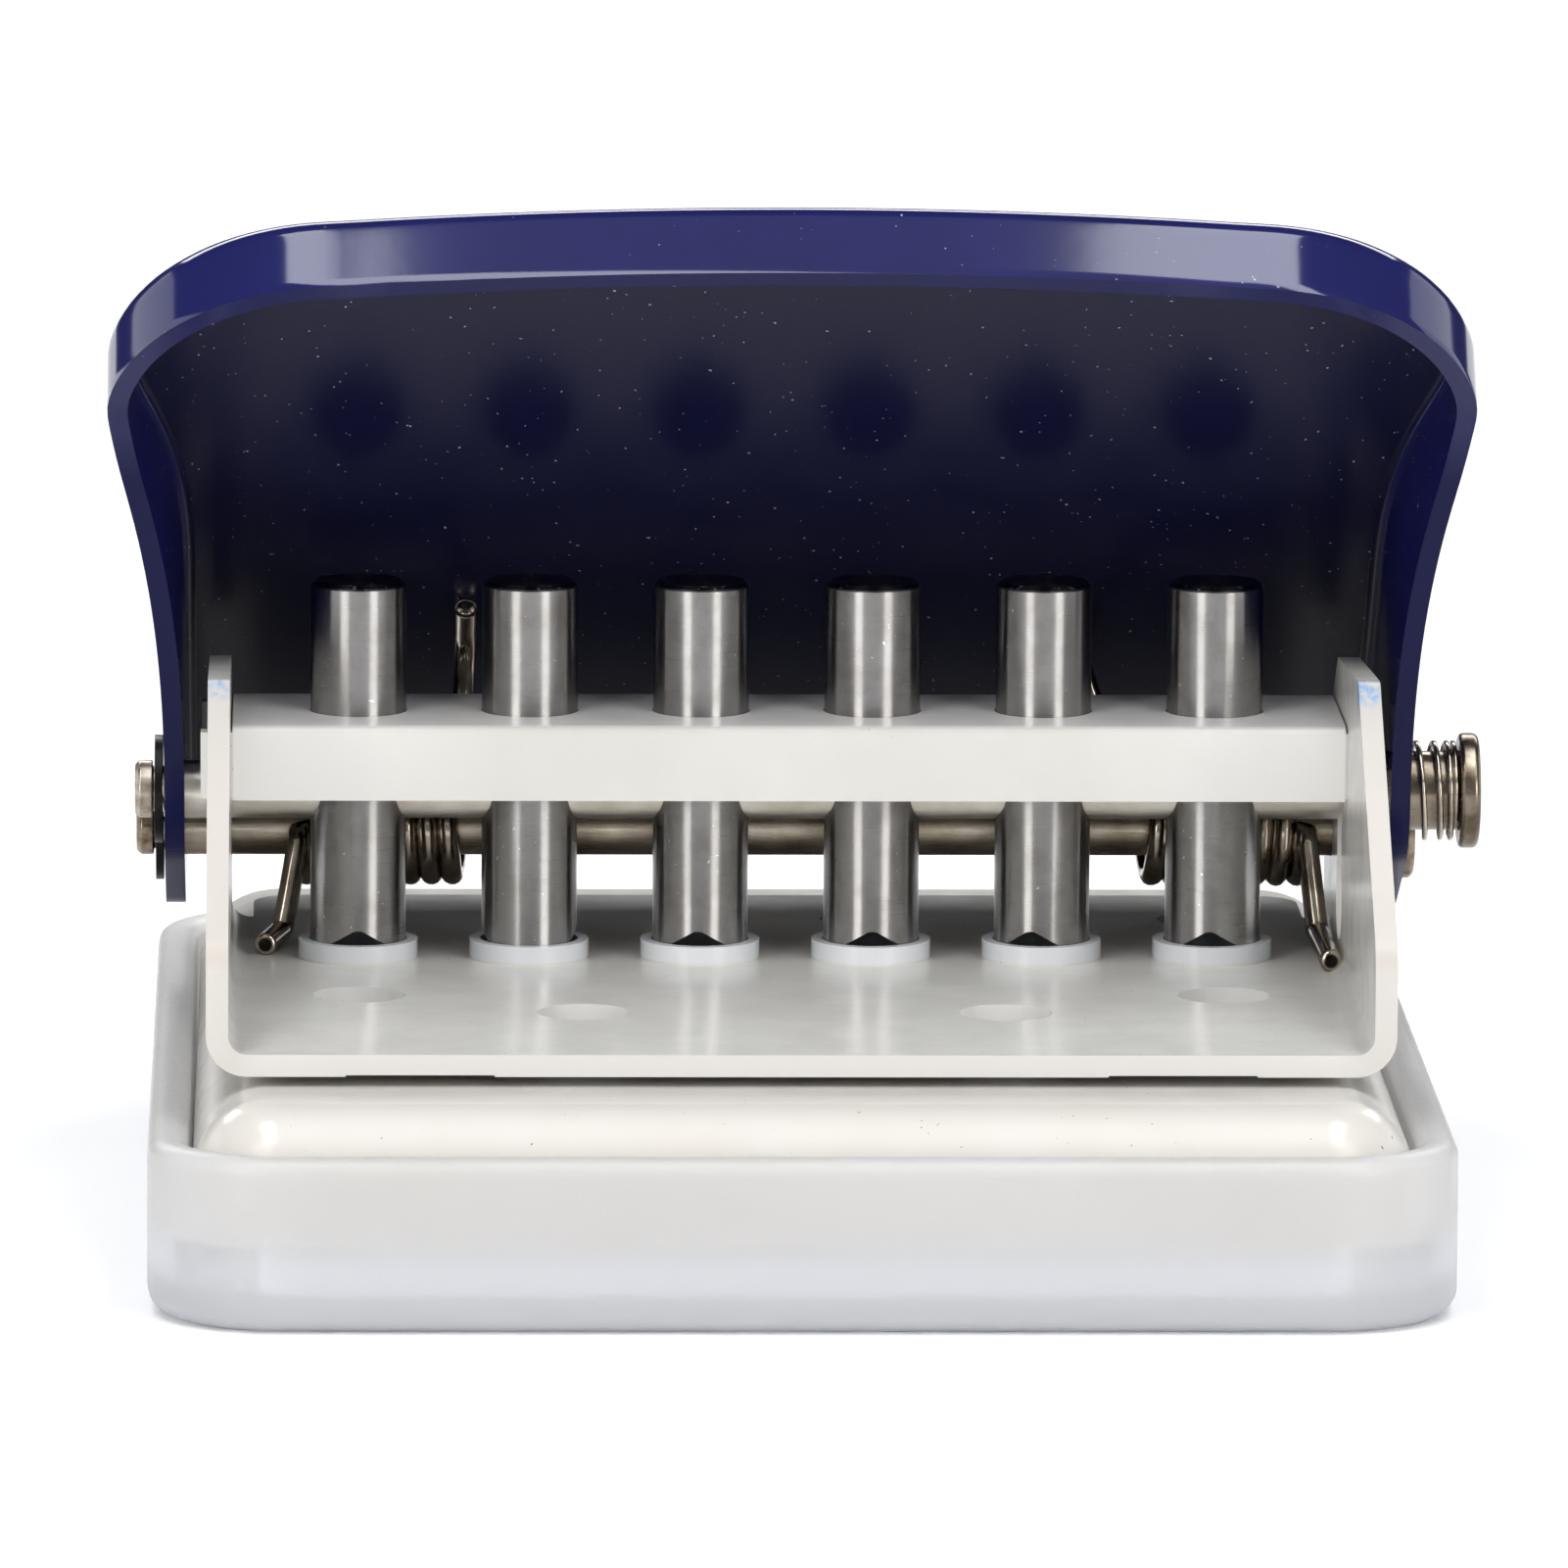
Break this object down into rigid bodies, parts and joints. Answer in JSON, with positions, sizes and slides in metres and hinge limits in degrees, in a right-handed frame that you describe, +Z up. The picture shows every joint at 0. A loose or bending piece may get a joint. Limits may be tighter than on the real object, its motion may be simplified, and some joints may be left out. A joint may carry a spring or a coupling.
{
  "type": "six-hole paper punch",
  "caption": "Desk paper punch with a lift-up stamped handle over a row of steel pins, a bent steel frame on a drawn base pan and a pull-off translucent chip tray.",
  "frame": {"origin": "centre of the chip tray's flat underside, on the table", "axes": "+Z up, +X to the right and +Y to the back as seen by the person who feeds the paper in from the front"},
  "size_m": [0.0762, 0.0804, 0.0568],
  "materials": {
    "tray_plastic": "frosted translucent",
    "pan_paint": "gloss cream paint",
    "frame_paint": "satin white paint",
    "zinc_steel": "zinc plated",
    "pin_steel": "ground",
    "rod_nickel": "dull nickel",
    "spring_steel": "drawn wire",
    "black_steel": "blackened",
    "handle_paint": "gloss navy paint"
  },
  "bodies": {
    "chassis": {"punch_frame": "frame_paint", "base_pan": "pan_paint", "paper_stop": "zinc_steel", "frame_rivets": "zinc_steel", "pin_guide": "frame_paint", "pivot_axle": "rod_nickel", "pivot_clip": "black_steel", "torsion_spring_left": "spring_steel", "torsion_spring_right": "spring_steel"},
    "handle": {"handle": "handle_paint"},
    "punch_pins": {"punch_pin_1": "pin_steel", "punch_pin_2": "pin_steel", "punch_pin_3": "pin_steel", "punch_pin_4": "pin_steel", "punch_pin_5": "pin_steel", "punch_pin_6": "pin_steel"},
    "drive_rod": {"drive_rod": "rod_nickel", "lock_button": "rod_nickel", "drive_rod_clip": "black_steel", "lock_spring": "spring_steel"},
    "chip_tray": {"chip_tray": "tray_plastic"}
  },
  "joints": [
    {"name": "handle_hinge", "type": "hinge", "parent": "chassis", "child": "handle", "pos_m": [0, 0.0095, 0.01925], "axis": [1, 0, 0], "range_deg": [0, 40], "stiffness_Nm_per_rad": 0.04, "springref_deg": -34.38, "deforming": ["torsion_spring_left", "torsion_spring_right"]},
    {"name": "pin_slide", "type": "slide", "parent": "chassis", "child": "punch_pins", "axis": [0, 0, -1], "range_m": [0, 0.00593]},
    {"name": "lock_slide", "type": "slide", "parent": "punch_pins", "child": "drive_rod", "axis": [-1, 0, 0], "range_m": [0, 0.0018], "stiffness_N_per_m": 150, "springref_m": -0.0015, "deforming": ["lock_spring"]},
    {"name": "tray_pull", "type": "slide", "parent": "chassis", "child": "chip_tray", "axis": [0, 0, -1], "range_m": [0, 0.012]}
  ],
  "couplings": [
    {"joint": "handle_hinge", "follows": "pin_slide", "rad_per_m": 117.59}
  ]
}
